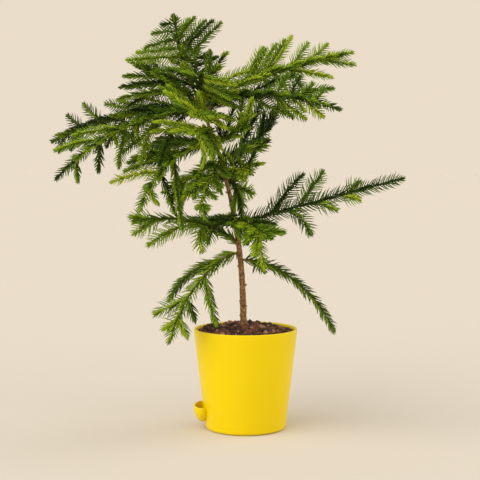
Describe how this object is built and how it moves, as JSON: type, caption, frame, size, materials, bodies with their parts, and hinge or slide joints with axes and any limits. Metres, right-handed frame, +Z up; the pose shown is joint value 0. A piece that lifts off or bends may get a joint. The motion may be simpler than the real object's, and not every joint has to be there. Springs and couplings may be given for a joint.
{
  "type": "norfolk island pine in a pot",
  "caption": "Young Norfolk Island pine: slender leaning trunk with whorls of arching, drooping needled boughs, in a smooth round plastic pot with a low watering spout.",
  "frame": {"origin": "centre of the pot's flat underside, on the surface it stands on", "axes": "+Z up along the plant's height, -Y towards the viewer's front, +X to the viewer's right; the trunk leans towards -X"},
  "size_m": [0.3876, 0.2103, 0.4346],
  "materials": {
    "pot_plastic": "satin lemon yellow",
    "soil": "coarse damp potting mix, red-brown and dark chunks",
    "bark": "matte brown bark",
    "needles_middle": "matte mid green needles",
    "needles_bright": "satin light green needles",
    "needles_shaded": "matte dark blue-green needles"
  },
  "bodies": {
    "root": {"bough_fifth_back": "bark", "bough_fifth_front": "bark", "bough_fifth_left": "bark", "bough_fifth_left_back": "bark", "bough_fifth_right": "bark", "bough_fifth_right_low": "bark", "bough_fourth_back": "bark", "bough_fourth_front": "bark", "bough_fourth_front_right": "bark", "bough_fourth_left": "bark", "bough_fourth_right": "bark", "bough_leader": "bark", "bough_leader_back": "bark", "bough_low_left": "bark", "bough_low_right": "bark", "bough_second_back": "bark", "bough_second_front": "bark", "bough_second_front_right": "bark", "bough_second_left": "bark", "bough_second_right": "bark", "bough_third_back": "bark", "bough_third_front": "bark", "bough_third_left": "bark", "bough_third_low_right": "bark", "bough_third_right": "bark", "bough_top_front": "bark", "bough_top_left": "bark", "bough_top_right": "bark", "foliage_fifth_back": "needles_shaded", "foliage_fifth_front": "needles_bright", "foliage_fifth_left": "needles_middle", "foliage_fifth_left_back": "needles_shaded", "foliage_fifth_right": "needles_bright", "foliage_fifth_right_low": "needles_middle", "foliage_fourth_back": "needles_shaded", "foliage_fourth_front": "needles_bright", "foliage_fourth_front_right": "needles_bright", "foliage_fourth_left": "needles_bright", "foliage_fourth_right": "needles_shaded", "foliage_leader": "needles_middle", "foliage_leader_back": "needles_shaded", "foliage_low_left": "needles_middle", "foliage_low_right": "needles_middle", "foliage_second_back": "needles_shaded", "foliage_second_front": "needles_shaded", "foliage_second_front_right": "needles_middle", "foliage_second_left": "needles_bright", "foliage_second_right": "needles_middle", "foliage_third_back": "needles_shaded", "foliage_third_front": "needles_middle", "foliage_third_left": "needles_bright", "foliage_third_low_right": "needles_middle", "foliage_third_right": "needles_bright", "foliage_top_front": "needles_middle", "foliage_top_left": "needles_middle", "foliage_top_right": "needles_middle", "pot": "pot_plastic", "soil": "soil", "trunk": "bark", "water_spout": "pot_plastic"}
  },
  "joints": []
}
